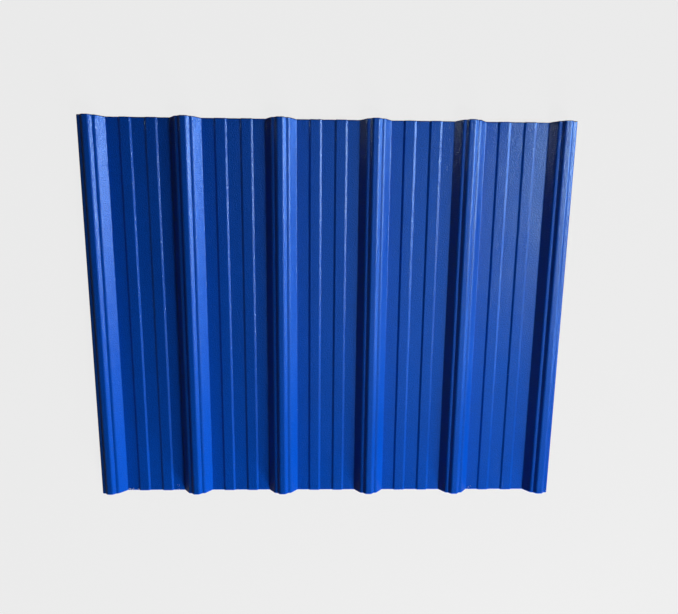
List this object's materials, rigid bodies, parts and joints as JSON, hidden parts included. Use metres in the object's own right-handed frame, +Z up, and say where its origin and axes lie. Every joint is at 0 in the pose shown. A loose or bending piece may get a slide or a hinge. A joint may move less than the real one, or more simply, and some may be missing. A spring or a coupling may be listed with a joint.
{
  "type": "trapezoidal pvc roofing sheet",
  "caption": "Trapezoidal plastic roofing sheet with stepped ribs and low beads in its flat pans, slit through the outer web of each edge rib so that sheets lap.",
  "frame": {"origin": "centre of the underside: the middle of the sheet's length and width, on the surface that its pans lie on", "axes": "+X across the ribs, +Y along the ribs, +Z up through the weather face, towards the crests"},
  "size_m": [1.0926, 0.884, 0.0245],
  "materials": {
    "roofing_sheet": "blue PVC with a weather-resistant skin, matte with a fine embossed grain"
  },
  "bodies": {
    "root": {"roofing_sheet": "roofing_sheet"}
  },
  "joints": []
}
